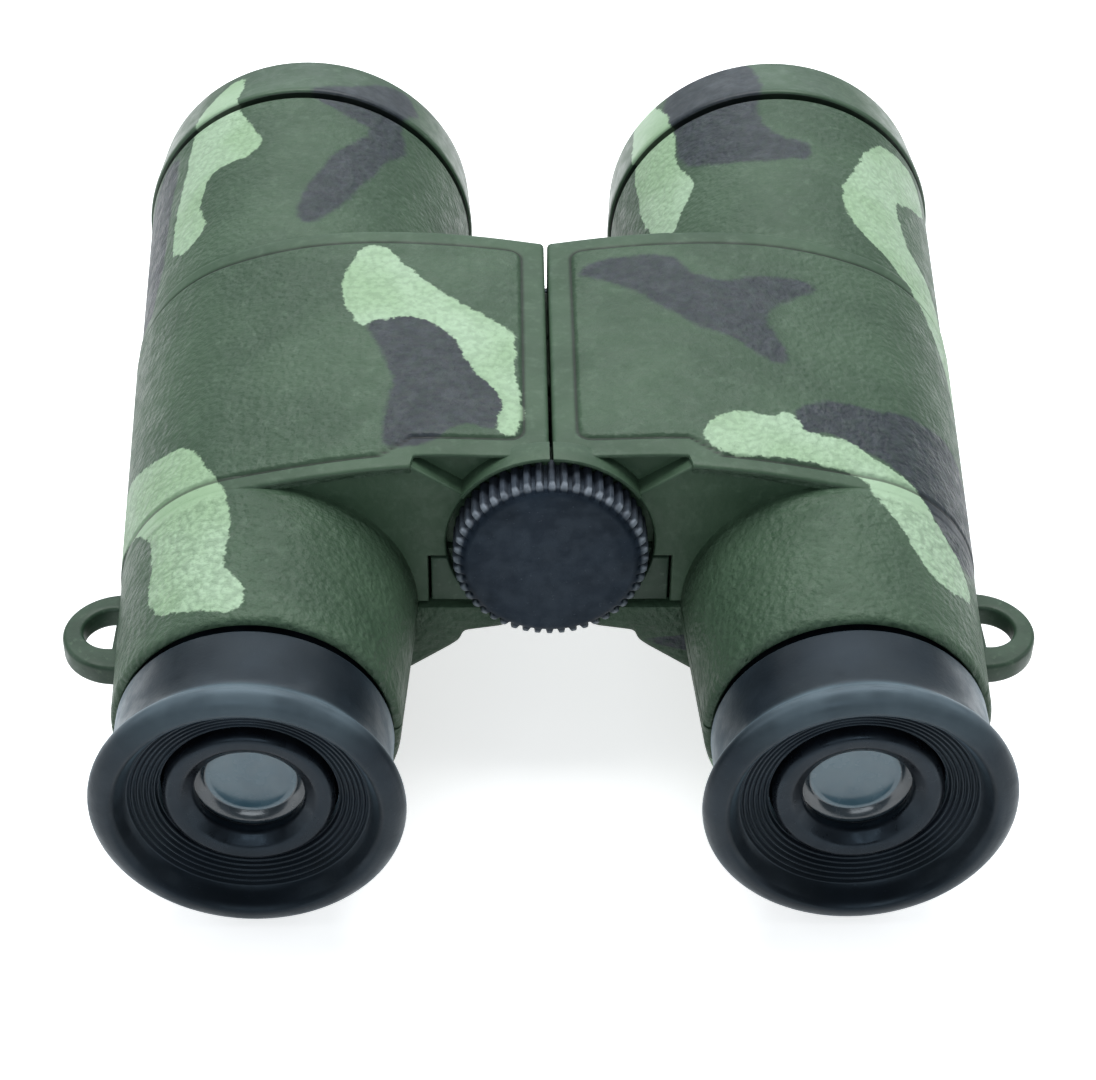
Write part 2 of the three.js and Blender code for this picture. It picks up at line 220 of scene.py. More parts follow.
# Blotches, drawn as smooth closed curves through a few points. The first number is the
# distance from the middle plane measured over the surface, the second is Y, both in millimetres.
BLOTCHES = {
    ("left", "light"): [
        [(41, 121.5), (44, 121.5), (48, 116), (49, 107), (50, 99), (50, 89), (47, 86), (44, 88),
         (45, 94), (44, 100), (39, 101), (37, 104), (39, 109), (41, 114)],
        [(23, 75), (20, 76), (17, 72), (12, 66), (7, 62), (4, 59), (4, 52), (3, 44), (4.5, 39.5),
         (6, 41), (5.5, 46), (9, 52), (11.5, 58), (15, 61), (20, 61), (22, 60), (24, 64), (24.5, 68)],
        [(48, 46), (42, 44), (39, 40), (36, 34), (35, 27), (35, 22), (32.5, 18), (33.5, 15), (38, 16),
         (43, 18), (45, 23), (45, 28), (47, 33), (51, 36), (57, 38), (60, 44), (56, 49)],
    ],
    ("left", "dark"): [
        [(30, 113), (25, 110), (23, 108), (28, 99), (31, 90), (31, 86), (29, 85), (25, 91), (21, 101),
         (17, 108), (18, 114), (15.5, 119), (17, 122.5), (21, 122), (26, 117.5), (31, 115.5)],
        [(21, 60), (17, 62), (13, 61), (9, 55), (6, 49), (5, 45), (6, 41), (10, 41), (14, 38),
         (18.5, 38), (19, 43), (18, 50), (20, 56)],
        [(51.5, 111), (56, 113), (61, 108), (61, 90), (58, 80), (54, 80), (52, 88), (52, 100)],
    ],
    ("right", "light"): [
        [(13, 125), (16, 119), (17, 111), (17, 106), (19, 99), (17, 95), (14.5, 92), (10, 98),
         (9, 107), (9, 118), (10, 124)],
        [(43, 104), (46, 109), (50, 111), (56, 111), (57, 105), (50, 99), (48, 97), (49, 89),
         (53, 86), (58, 80), (60, 70), (57, 62), (54, 68), (48, 77), (45, 81), (40, 86),
         (38.5, 92), (41, 99)],
        [(17, 39), (18, 42), (21, 44), (25, 44), (27.5, 45), (29, 42), (32.5, 42), (36, 40),
         (41.5, 36.5), (44.5, 32), (48, 29), (49, 25), (46, 23), (41.5, 23), (38, 30), (36, 33),
         (34, 36), (26, 37), (20, 36.5)],
    ],
    ("right", "dark"): [
        [(15.5, 121), (19, 126), (27, 126), (30, 118), (29, 110), (31, 105), (35, 103), (35.5, 101),
         (34, 99), (27, 99), (19, 103), (17, 107), (17, 112)],
        [(4, 72), (8, 74.5), (15, 74), (18.5, 70.5), (22, 69), (27, 70.5), (32, 70), (32, 68.5),
         (27, 64), (26, 61.5), (28, 55), (26, 54), (21, 58), (17, 60), (12, 66), (6, 70)],
        [(28, 46), (33, 48.5), (38, 48.5), (44.5, 50), (50, 51), (56, 47), (56, 38), (52, 31),
         (48, 29), (44.5, 32), (41.5, 36.5), (36, 40), (32, 42), (28.5, 42)],
    ],
}
UNDERSIDE_START, UNDERSIDE_END = -1.0, -5.0  # where the free pattern underneath takes over


def smooth_loop(points, steps=8):
    """A closed Catmull-Rom curve through the points."""
    p = np.array(points, float)
    p0, p2, p3 = np.roll(p, 1, 0), np.roll(p, -1, 0), np.roll(p, -2, 0)
    t = np.linspace(0, 1, steps, endpoint=False)[None, :, None]
    a, b, c, d = p0[:, None], p[:, None], p2[:, None], p3[:, None]
    curve = 0.5 * (2 * b + (c - a) * t + (2 * a - 5 * b + 4 * c - d) * t ** 2
                   + (3 * b - a - 3 * c + d) * t ** 3)
    return curve.reshape(-1, 2)


def depth_inside(points, loop):
    """How far each point is inside the loop: negative outside."""
    a, b = loop, np.roll(loop, -1, 0)
    along = b - a
    offset = points[:, None, :] - a[None]
    t = np.clip((offset * along).sum(2) / (along ** 2).sum(1), 0, 1)
    distance = np.sqrt(((offset - t[..., None] * along) ** 2).sum(2)).min(1)
    y = points[:, 1][:, None]
    crosses = (a[:, 1] > y) != (b[:, 1] > y)
    rise = np.where(along[:, 1] == 0, 1e-9, along[:, 1])
    at = a[:, 0] + (y - a[:, 1]) * along[:, 0] / rise
    inside = (crosses & (points[:, 0][:, None] < at)).sum(1) % 2 == 1
    return np.where(inside, distance, -distance)


def over_surface(co):
    """Distance from the middle plane over the surface, for points (x, y, z) of the right half."""
    x, y, z = co.T
    radius = barrel_radius(np.minimum(y, BARREL_FRONT))
    round_the_barrel = BARREL_X + radius * np.arctan2(x - BARREL_X, z)
    on_deck = (y > BRIDGE_BACK - 0.2) & (y < BRIDGE_FRONT + 0.2) & (x < BARREL_X + 2) & (z > 0)
    return np.where(on_deck, x, round_the_barrel)


def free_pattern(co, shift):
    """The underside's own blotches: slow noise, in millimetres of depth."""
    values = [value_noise(Vector((x / 17 + shift, y / 23, z / 17))) for x, y, z in co]
    return (np.array(values) - 0.28) * 22


def blotch_depth(co, side, tone):
    """Depth inside the nearest blotch of that tone."""
    flat = np.stack([over_surface(co), co[:, 1]], 1)
    loops = [smooth_loop(points) for points in BLOTCHES[side, tone]]
    drawn = np.max([depth_inside(flat, loop) for loop in loops], 0)
    under = free_pattern(co, {"left": 3.1, "right": 9.7}[side] + {"light": 0, "dark": 5.3}[tone])
    mix = np.clip((co[:, 2] - UNDERSIDE_START) / (UNDERSIDE_END - UNDERSIDE_START), 0, 1)
    return drawn * (1 - mix) + under * mix


# ---------------- the bridge's raised panel

PANEL_LEFT, PANEL_FRONT = 3.1, 76.9  # edges of the raised, grained panel
PANEL_BACK_NEAR, PANEL_BACK_FAR = 39.1, 36.3  # its back edge, behind the recess and farther out
PANEL_CORNER = 1.6
PANEL_RISE = 0.13
GROOVE_DEPTH, GROOVE_WIDTH, GROOVE_OUTSIDE = 0.13, 0.24, 0.12
GROOVE_SHADE_WIDTH = 0.2


def soft_step(low, high, value):
    t = min(1, max(0, (value - low) / (high - low)))
    return t * t * (3 - 2 * t)


def panel_depth(x, y):
    """How far (x, y) lies inside the panel's outline: negative outside."""
    slant = min(1, max(0, (x - RECESS_CORNER) / 3.6))
    back = PANEL_BACK_NEAR + (PANEL_BACK_FAR - PANEL_BACK_NEAR) * slant
    dx = PANEL_LEFT + PANEL_CORNER - x
    dy = max(back + PANEL_CORNER - y, y - PANEL_FRONT + PANEL_CORNER)
    return PANEL_CORNER - math.hypot(max(dx, 0), max(dy, 0)) - min(max(dx, dy), 0)


def panel_height(x, y):
    """Height of the skin above the border strip: a groove, then the panel."""
    depth = panel_depth(x, y)
    rise = PANEL_RISE * soft_step(0, 0.5, depth)
    return rise - GROOVE_DEPTH * math.exp(-((depth + GROOVE_OUTSIDE) / GROOVE_WIDTH) ** 2)


def grain_and_shade_masks(x, y, z):
    """How grained the plastic is, and how deep in the painted shade of a groove or of the joint behind
    the ring, both from 0 to 1.
    """
    if y > RING_BACK:
        return 0.15, 0.0
    on_bridge = BRIDGE_BACK <= y <= BRIDGE_FRONT and z > 0
    if not on_bridge:
        # painted shade in the joint between the tube and the front ring
        joint_shade = soft_step(TUBE_END - 0.1, TUBE_END + 0.15, y)
        return (1.0 if y < BRIDGE_BACK else 0.6), joint_shade
    depth = panel_depth(x, y)
    # painted shade along the panel's border groove
    panel_groove_shade = math.exp(-((depth + GROOVE_OUTSIDE) / GROOVE_SHADE_WIDTH) ** 2)
    return 0.12 + 0.58 * soft_step(-0.1, 0.6, depth), panel_groove_shade


# ---------------- making objects

def to_frame(x, y, z):
    return Vector((x * MM, LIP_Y + y * MM, AXIS_Z + z * MM))


def make(name, shape, body, material, replaces, side="right", sharp=35, camouflage=False):
    """Turns a Shape into a piece that rides on a CAD body and stands for CAD nodes."""
    sign = -1 if side == "left" else 1
    mesh = bpy.data.meshes.new(name)
    mesh.from_pydata([to_frame(sign * x, y, z) for x, y, z in shape.points], [], shape.faces)
    work = bmesh.new()
    work.from_mesh(mesh)
    bmesh.ops.remove_doubles(work, verts=work.verts, dist=1e-7)
    bmesh.ops.recalc_face_normals(work, faces=work.faces)
    work.to_mesh(mesh)
    work.free()
    mesh.shade_smooth()
    mesh.set_sharp_from_angle(angle=math.radians(sharp))
    if camouflage:
        co = np.array([vertex.co for vertex in mesh.vertices])
        co = (co - np.array([0, LIP_Y, AXIS_Z])) / MM * np.array([sign, 1, 1])
        for tone in ("light", "dark"):
            layer = mesh.attributes.new(tone, "FLOAT", "POINT")
            layer.data.foreach_set("value", blotch_depth(co, side, tone).astype(np.float32))
        masks = np.array([grain_and_shade_masks(x, y, z) for x, y, z in co], np.float32)
        for column, mask in enumerate(("grain", "line")):
            layer = mesh.attributes.new(mask, "FLOAT", "POINT")
            layer.data.foreach_set("value", masks[:, column].copy())
    mesh.materials.append(material)
    piece = bpy.data.objects.new(name, mesh)
    bpy.context.scene.collection.objects.link(piece)
    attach(piece, body)
    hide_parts(*replaces)
    return piece


# ---------------- shells

def wall_profile():
    """Section of a barrel wall as (radius, y), going forward outside and back inside."""
    rim = 0.7
    back = [(EYE_BORE + 0.15, BARREL_BACK + 0.25), (EYE_BORE + 0.4, BARREL_BACK),
            (BACK_RADIUS - rim, BARREL_BACK)]
    curve = [(BACK_RADIUS - rim + rim * math.sin(t), BARREL_BACK + rim - rim * math.cos(t))
             for t in (0.4, 0.8, 1.2)]
    outside = [(barrel_radius(y), y) for y in np.arange(BARREL_BACK + rim, TUBE_END - 0.3, 1.0)]
    end = barrel_radius(BARREL_FRONT)
    step = 1.1
    lip = [(end - 0.05, TUBE_END - 0.15), (end - 0.2, TUBE_END), (end - step, TUBE_END + 0.05),
           (end - step, BARREL_FRONT)]
    inside = [(end - WALL, BARREL_FRONT), (barrel_radius(52) - WALL, 52), (EYE_BORE, EYE_BORE_END),
              (EYE_BORE, BARREL_BACK + 1)]
    return back + curve + outside + lip + inside


def half_tube(shape, upper):
    """Half of a barrel, cut at the parting plane."""
    cut = math.degrees(PARTING / BACK_RADIUS)
    start, end = (cut, 180 - cut) if upper else (180 + cut, 360 - cut)
    turned(shape, wall_profile(), steps=104, start=start, end=end)


def hermite(x, knots):
    """Height at x on a smooth curve through (x, height, slope) knots."""
    for (x0, z0, m0), (x1, z1, m1) in zip(knots, knots[1:]):
        if x <= x1 or (x1, z1, m1) == knots[-1]:
            w = x1 - x0
            t = (x - x0) / w
            z = ((2 * t ** 3 - 3 * t ** 2 + 1) * z0 + (t ** 3 - 2 * t ** 2 + t) * w * m0
                 + (3 * t ** 2 - 2 * t ** 3) * z1 + (t ** 3 - t ** 2) * w * m1)
            return z
    return knots[-1][1]


def forward(y):
    """0 at the bridge's back edge, 1 at its front edge."""
    return (y - BRIDGE_BACK) / (BRIDGE_FRONT - BRIDGE_BACK)


def skin_radius(y):
    """The bridge's skin where it wraps the barrel: flush at the back, a step up at the front."""
    return barrel_radius(y) + 0.03 + 0.22 * forward(y)


def deck_knots(y):
    """The deck's section at y: (x, height, slope), from the seam to where it meets the barrel."""
    v = forward(y)
    meet = 35.7 + 3.8 * v
    rise = math.sqrt(skin_radius(y) ** 2 - (meet - BARREL_X) ** 2)
    return [(SEAM, 19.8 + 0.5 * v, 0.02 + 0.13 * v), (8 + v, 20 + 1.5 * v, 0.02 + 0.08 * v),
            (15.6 + 11.4 * v, 20 + 1.8 * v, -0.07 - 0.03 * v), (meet, rise, (BARREL_X - meet) / rise)]


def deck_section(y):
    """Outline of the upper skin at y as (x, z, normal x, normal z), from the seam to the parting."""
    knots, fillet = deck_knots(y), SEAM_FILLET
    top = hermite(SEAM + fillet, knots)
    low = HINGE_Z + HUB_RADIUS + 0.7
    section = [(SEAM, low + (top - fillet - low) * i / 3, -1, 0) for i in range(3)]
    for i in range(5):
        a = math.pi / 2 * i / 5
        section.append((SEAM + fillet - fillet * math.cos(a), top - fillet + fillet * math.sin(a),
                        -math.cos(a), math.sin(a)))
    meet = knots[-1][0]
    xs = list(np.arange(SEAM + fillet, 2.3, 0.35)) + list(np.arange(2.3, 4.2, 0.13))
    xs += list(np.linspace(4.2, RECESS_CORNER - 0.5, 14))
    xs += list(np.linspace(RECESS_CORNER - 0.3, RECESS_CORNER + 0.3, 5))
    xs += list(np.linspace(RECESS_CORNER + 0.8, meet, 28))
    for x in xs:
        slope = (hermite(x + 0.05, knots) - hermite(x - 0.05, knots)) / 0.1
        size = math.hypot(1, slope)
        section.append((x, hermite(x, knots), -slope / size, 1 / size))
    radius, start = skin_radius(y), math.acos((meet - BARREL_X) / skin_radius(y))
    stop = math.asin(PARTING / radius)
    for i in range(1, 29):
        a = start + (stop - start) * i / 28
        section.append((BARREL_X + radius * math.cos(a), radius * math.sin(a),
                        math.cos(a), math.sin(a)))
    return section


def notched(x, y):
    """Moves the deck's back edge forward above the recess."""
    stretch = RECESS_FLOOR + 1.5
    if y >= stretch:
        return y
    inward = 1 - soft_step(RECESS_CORNER - 0.25, RECESS_CORNER + 0.25, x)
    return y + (DECK_NOTCH - BRIDGE_BACK) * inward * (stretch - y) / (stretch - BRIDGE_BACK)


def skin_depth(x, y):
    """Thickness of the deck's skin, thinned to a lip over the recess."""
    if x > RECESS_CORNER:
        return SKIN
    return 0.35 + (SKIN - 0.35) * soft_step(BRIDGE_BACK + 1, BRIDGE_BACK + 4, y)


def end_drop(y, radius=0.45):
    """How far the skin curls in near its back and front edges."""
    near = min(y - BRIDGE_BACK, BRIDGE_FRONT - y)
    return radius - math.sqrt(max(0, radius ** 2 - max(0, radius - near) ** 2))


def deck_rows():
    """Where the deck's sections lie, closer together over the panel's borders."""
    rows = [BRIDGE_BACK + e for e in EDGE_ROWS]
    rows += list(np.arange(BRIDGE_BACK + 0.8, PANEL_BACK_FAR - 0.6, 0.4))
    rows += list(np.arange(PANEL_BACK_FAR - 0.6, PANEL_BACK_NEAR + 0.8, 0.13))
    rows += list(np.arange(PANEL_BACK_NEAR + 1.2, PANEL_FRONT - 1, 0.8))
    rows += list(np.arange(PANEL_FRONT - 0.9, PANEL_FRONT + 0.9, 0.12))
    rows += [BRIDGE_FRONT - 1.3, BRIDGE_FRONT - 0.8]
    return rows + [BRIDGE_FRONT - e for e in EDGE_ROWS[::-1]]


def deck(shape):
    """The upper skin of the bridge, with its border strip and raised panel."""
    rows = []
    for y in deck_rows():
        section, row = deck_section(y), []
        for x, z, nx, nz in section:
            there = notched(x, y)
            drop = end_drop(y) * (0.5 if x < RECESS_CORNER else 1)
            lift = (panel_height(x, there) if x > SEAM + SEAM_FILLET else 0) - drop
            row.append((x + nx * lift, there, z + nz * lift))
        ceiling = hermite(2, deck_knots(y)) - skin_depth(2, y)
        for x, z, nx, nz in reversed(section):
            if x < 2.3:
                row.append((SEAM + 1.0 + 0.4 * x, notched(x, y), min(z, ceiling)))
            else:
                thick = skin_depth(x, y)
                row.append((x - nx * thick, notched(x, y), z - nz * thick))
        rows.append(row)
    shape.grid(rows, loop=True, caps=True)


def deck_edge(y, x0, x1, drop, steps=16):
    """Points along the underside of the deck's skin, from x0 to x1."""
    knots = deck_knots(y)
    xs = [x0 + (x1 - x0) * i / steps for i in range(steps + 1)]
    return [(x, hermite(x, knots) - drop) for x in xs]


def rear_wall(shape):
    """The wall facing the user: arm window, knob well, hub hole and the recess under the deck."""
    hub, window_top, window_side = HUB_RADIUS + 0.7, ARM_TOP + 0.3, ARM_REACH + 0.3
    well_low = math.degrees(math.asin((window_top - HINGE_Z) / KNOB_WELL))
    outline = deck_edge(BRIDGE_BACK, RECESS_CORNER, 28, 0.5)
    outline += arc(BARREL_X, 0, barrel_radius(BRIDGE_BACK) - WALL_INTO_BARREL, 100, 179.4, 23)
    outline += [(window_side, PARTING), (window_side, window_top)]
    outline += arc(0, HINGE_Z, KNOB_WELL, well_low, 36.4, 16)
    slab(shape, outline, REAR_FACE, BRIDGE_BACK + 3.4, 0.3, steps=4)
    hub_low = math.degrees(math.asin((window_top - HINGE_Z) / hub))
    floor_outline = arc(0, HINGE_Z, hub, hub_low, 88.4, 24)
    floor_outline += [(SEAM, 19.2), (16.2, 19.2), (window_side + 0.3, window_top)]
    slab(shape, floor_outline, RECESS_FLOOR, RECESS_FLOOR + 1, 0.1)
    collar = arc(0, HINGE_Z, KNOB_WELL + 0.45, 34, 89, 40) + arc(0, HINGE_Z, KNOB_WELL, 89, 34, 40)
    slab(shape, collar, REAR_FACE - 0.2, RECESS_FLOOR + 0.5, 0.12)


def front_wall(shape):
    """The wall between the barrels at the front, cut round the hinge axle."""
    front = BRIDGE_FRONT - 0.05
    outline = deck_edge(BRIDGE_FRONT, SEAM, 30, 0.5)
    outline += arc(BARREL_X, 0, barrel_radius(BRIDGE_FRONT) - WALL_INTO_BARREL, 96, 179.4, 25)
    outline += [(FOLD_SLOPE * (HINGE_Z - PARTING), PARTING)]
    outline += arc(0, HINGE_Z, AXLE_HOLE, -67.5, 86, 20)
    slab(shape, outline, front - 1.75, front, 0.25)


def knuckle(shape, side):
    """This half's own barrel round the hinge axle, and the web that carries it."""
    start = KNUCKLE_START[side]
    end = start + KNUCKLE_LENGTH
    bore = arc(0, HINGE_Z, AXLE_HOLE, 0, 348.75, 31)
    slab(shape, arc(0, HINGE_Z, KNUCKLE_RADIUS, 0, 354.4, 63), start, end, 0.4, holes=[bore])
    web = [(4.5, HINGE_Z - 2), (4.5, HINGE_Z + 4), (12, HINGE_Z + 11.5), (12, HINGE_Z - 2)]
    slab(shape, web, start + 0.3, end - 0.3, 0.3)


def upper_shell(side):
    shape = Shape()
    half_tube(shape, True)
    deck(shape)
    rear_wall(shape)
    front_wall(shape)
    knuckle(shape, side)
    make(f"{side}_upper_casing", shape, f"{side}_half", MATERIALS["camouflage"],
         [f"{side}_upper_shell"], side, 32, camouflage=True)


def clear_of_well(x, y, z):
    """Moves a point of the section out of the knob's well."""
    reach = math.hypot(x, z - HINGE_Z)
    if y > KNOB_WELL_FLOOR or reach >= KNOB_WELL:
        return x, z
    scale = KNOB_WELL / reach
    return x * scale, HINGE_Z + (z - HINGE_Z) * scale


KEEL_ARC_STEPS = 44  # pieces of the keel's outline that wrap the barrel


def keel_outline(y):
    """Lower edge of the bridge's section, from the hinge clearance to the barrel."""
    v = forward(y)
    meet = 22.3 - 5.3 * v
    radius = skin_radius(y)
    low = -math.sqrt(radius ** 2 - (BARREL_X - meet) ** 2)
    inner = [(FOLD_SLOPE * (HINGE_Z + PARTING), -PARTING), (5.1, -3.2), (9.9, -4.0), (10.3, -5.3),
             (11.5, -6.3), (meet, low)]
    path = rounded(inner, 0.7, 3, closed=False)
    start = math.atan2(low, meet - BARREL_X)
    stop = -math.asin(PARTING / radius)
    turns = [start + (stop - start) * i / KEEL_ARC_STEPS for i in range(1, KEEL_ARC_STEPS + 1)]
    path += [(BARREL_X + radius * math.cos(a), radius * math.sin(a)) for a in turns]
    return [clear_of_well(x, y, z) for x, z in path]


def keel(shape):
    """The lower skin of the bridge."""
    ys = [BRIDGE_BACK + e for e in EDGE_ROWS]
    ys += [BRIDGE_BACK + 1, KNOB_WELL_FLOOR, KNOB_WELL_FLOOR + 0.02]
    ys += list(np.linspace(KNOB_WELL_FLOOR + 1, BRIDGE_FRONT - 1, 44))
    rows = []
    for y in ys + [BRIDGE_FRONT - e for e in EDGE_ROWS[::-1]]:
        path = keel_outline(y)
        outer, inner = inset(path, end_drop(y)), inset(path, SKIN)
        outer[0], outer[-1] = path[0], path[-1]
        inner[0], inner[-1] = (path[0][0] + SKIN, path[0][1]), (path[-1][0] - SKIN, path[-1][1])
        rows.append([(x, y, z) for x, z in outer + inner[::-1]])
    shape.grid(rows, loop=True, caps=True)


def keel_wall(shape, y0, y1, y):
    """A wall inside the keel from y0 to y1, cut to the keel's section at y."""
    path = keel_outline(y)[:-KEEL_ARC_STEPS]
    side = arc(BARREL_X, 0, barrel_radius(y) - WALL_INTO_BARREL, 232, 180.6, 21)
    outline = inset(path, 0.3)
    if y < KNOB_WELL_FLOOR:
        outline[0:1] = arc(0, HINGE_Z, KNOB_WELL + 0.05, -48, -66, 6)
    else:
        outline[0] = (path[0][0] + 0.1, -PARTING)
    slab(shape, outline[:-1] + side, y0, y1, 0.25)


def lower_shell(side):
    shape = Shape()
    half_tube(shape, False)
    keel(shape)
    keel_wall(shape, BRIDGE_BACK - 0.05, BRIDGE_BACK + WALL, BRIDGE_BACK)
    keel_wall(shape, BRIDGE_FRONT - WALL, BRIDGE_FRONT - 0.05, BRIDGE_FRONT)
    make(f"{side}_lower_casing", shape, f"{side}_half", MATERIALS["camouflage"],
         [f"{side}_lower_shell"], side, 32, camouflage=True)


def front_ring(side):
    """The ring round the objective: a rolled back edge, a nearly straight band, a rounded lip."""
    r = RING_RADIUS
    profile = [(r - 0.15, RING_BACK), (r, RING_BACK + 0.6), (r - 0.6, RING_FRONT - 0.7),
               (r - 1.2, RING_FRONT), (19.6, RING_FRONT), (19.1, 119), (20.3, 119), (20.3, RING_BACK)]
    shape = Shape()
    band = rounded(profile, 0.5, 4)
    dense = []
    for a, b in zip(band, band[1:] + band[:1]):
        parts = max(1, round(math.dist(a, b) / 1.2))
        dense += [(a[0] + (b[0] - a[0]) * i / parts, a[1] + (b[1] - a[1]) * i / parts)
                  for i in range(parts)]
    turned(shape, dense, steps=160)
    make(f"{side}_objective_ring", shape, f"{side}_half", MATERIALS["ring"],
         [f"{side}_front_ring"], side, 40, camouflage=True)


# ---------------- eyepieces

def eyecup(side):
    """The rubber cup: rolled lip, waisted skirt, a stepped-down collar and a ribbed bowl."""
    outside = [(14.25, 0.02), (14.7, 0.03), (15.4, 0.22), (16.0, 0.6), (16.45, 1.15), (16.6, 1.75),
               (16.45, 2.3), (16.0, 2.9), (15.5, 3.5), (15.15, 4.2), (14.98, 5.2), (14.9, 7.0),
               (14.9, 9.5), (14.95, 12.3)]
    collar = [(14.75, 12.5), (14.0, 12.55), (14.0, 13.05)]
    back = [(13.2, 13.05), (13.2, 5.4), (9.4, 5.4), (9.4, 3.75)]
    bowl = [(9.4, 3.7), (10.4, 3.4), (11.6, 2.95), (12.8, 2.4), (13.6, 1.7)]
    ribs, count = [], 6
    for i in range(count):
        for part, lift in ((0.0, 0.2), (0.4, -0.16), (0.62, -0.14)):
            r = 9.55 + (12.9 - 9.55) * (i + part) / count
            base = float(np.interp(r, [p[0] for p in bowl], [p[1] for p in bowl]))
            ribs.append((r, base + lift))
    profile = outside + collar + back + ribs + [(13.0, 1.95), (13.35, 1.3), (13.75, 0.45)]
    shape = Shape()
    turned(shape, rounded(profile, 0.3, 3), steps=144)
    make(f"{side}_eye_cup", shape, f"{side}_eyepiece", MATERIALS["rubber"],
         [f"{side}_eyecup"], side, 60)


def ocular_ring(side):
    profile = [(9.05, 3), (8.5, 2.5), (7.2, 2.6), (5.8, 3.7), (5.8, 5), (7.5, 5), (7.5, 6.8),
               (12.7, 6.8), (12.7, 5.7), (9.05, 5.7)]
    shape = Shape()
    turned(shape, rounded(profile, 0.35, 4), steps=96)
    make(f"{side}_lens_cell", shape, f"{side}_eyepiece", MATERIALS["plastic"],
         [f"{side}_ocular_ring"], side)


EYE_DISC_RADIUS = 4.85  # the bright middle of the eye lens


def eye_lens(side):
    disc = EYE_DISC_RADIUS
    front = [(disc * i / 8, 5.9 + 0.12 * (i / 8) ** 2) for i in range(9)]
    bevel = [(disc + 0.12, 5.9), (5.6, 5.3), (7.2, 5.2), (7.2, 7.6), (0, 7.6)]
    shape = Shape()
    turned(shape, front + bevel, steps=96)
    make(f"{side}_eye_glass", shape, f"{side}_eyepiece", MATERIALS["eye_glass"],
         [f"{side}_eye_lens"], side, 50)


def eyepiece_tube(side):
    profile = [(12.9, 7.1), (12.9, BARREL_BACK), (14.2, BARREL_BACK), (14.2, 44), (12.6, 44),
               (12.6, 15), (11.3, 13.6), (11.3, 9.6), (6.2, 9.6), (6.2, 8), (8.4, 8), (8.4, 7.1)]
    shape = Shape()
    turned(shape, rounded(profile, 0.2, 2), steps=96)
    make(f"{side}_sliding_tube", shape, f"{side}_eyepiece", MATERIALS["plastic"],
         [f"{side}_eyepiece_tube"], side)


def focus_arm(side):
    """Hub on the focus bush, bar filling the window, tongue to the eyepiece tube."""
    shape = Shape()
    back, front = BRIDGE_BACK, ARM_FRONT
    own = front - HUB_LENGTH if side == "right" else back + 0.2
    wedge = (FOLD_SLOPE * (HINGE_Z - ARM_LOW), ARM_LOW)
    clear = HUB_RADIUS + 0.35
    top_angle = math.degrees(math.asin((ARM_TOP - HINGE_Z) / clear))
    bar = arc(0, HINGE_Z, clear, -67.5, top_angle, 12)
    bar += [(ARM_REACH, ARM_TOP), (ARM_REACH, ARM_LOW), wedge]
    slab(shape, bar, KNOB_WELL_FLOOR, front, 0.1)
    well = [math.degrees(math.asin((z - HINGE_Z) / KNOB_WELL)) for z in (ARM_LOW, ARM_TOP)]
    face = arc(0, HINGE_Z, KNOB_WELL, *well, 8) + [(ARM_REACH, ARM_TOP), (ARM_REACH, ARM_LOW)]
    slab(shape, face, REAR_FACE + 0.05, KNOB_WELL_FLOOR + 0.5, 0.2)
    bore = arc(0, HINGE_Z, HUB_BORE, 0, 348.75, 31)
    slab(shape, arc(0, HINGE_Z, HUB_RADIUS, 0, 354.4, 63), own, own + HUB_LENGTH, 0.3, holes=[bore])
    link = [(5, HINGE_Z - 4.5), (5, ARM_TOP), (9, ARM_TOP), (9, ARM_LOW + 0.3)]
    slab(shape, link, own + 0.1, own + HUB_LENGTH - 0.1, 0.05)
    tongue = [(ARM_REACH - 1, ARM_LOW), (ARM_REACH - 1, ARM_TOP - 0.4), (18.7, ARM_TOP - 0.4),
              (17.5, ARM_LOW)]
    slab(shape, tongue, front - 1.6, front, 0.2)
    make(f"{side}_eyepiece_arm", shape, f"{side}_eyepiece", MATERIALS["green"],
         [f"{side}_focus_arm"], side)


def strap_lug(side):
    """A flat ring for a neck strap, with its root clamped in the barrel."""
    radius = LUG_TOP + 5.05
    centre = LUG_OUTSIDE - radius
    root, eye, flat = centre - 1.0, 3.25, centre + 0.6
    reach = math.degrees(math.acos((root - centre) / radius))
    outline = arc(centre, LUG_Y, radius, -reach, reach, 56)
    opening = math.degrees(math.acos((flat - centre - 0.9) / eye))
    hole = arc(centre + 0.9, LUG_Y + 0.4, eye, -opening, opening, 40)
    shape = Shape()
    slab(shape, outline, -LUG_TOP, LUG_TOP, 0.5, holes=[hole], place=upward, steps=5)
    make(f"{side}_strap_ring", shape, f"{side}_half", MATERIALS["green"],
         [f"{side}_strap_lug"], side, 40)


def objective_lens(side):
    outer = 20.0
    back = [(outer * i / 14, 115.2 + 1.4 * (i / 14) ** 2) for i in range(15)]
    front = [(outer * i / 14, 119.9 - 1.5 * (i / 14) ** 2) for i in range(14, -1, -1)]
    shape = Shape()
    turned(shape, back + front, steps=128)
    make(f"{side}_objective_glass", shape, f"{side}_half",
         MATERIALS["objective_glass"], [f"{side}_objective_lens"], side, 50)


# ---------------- focus knob

TEETH, TOOTH_DEPTH, COLUMNS_PER_TOOTH = 48, 0.7, 14


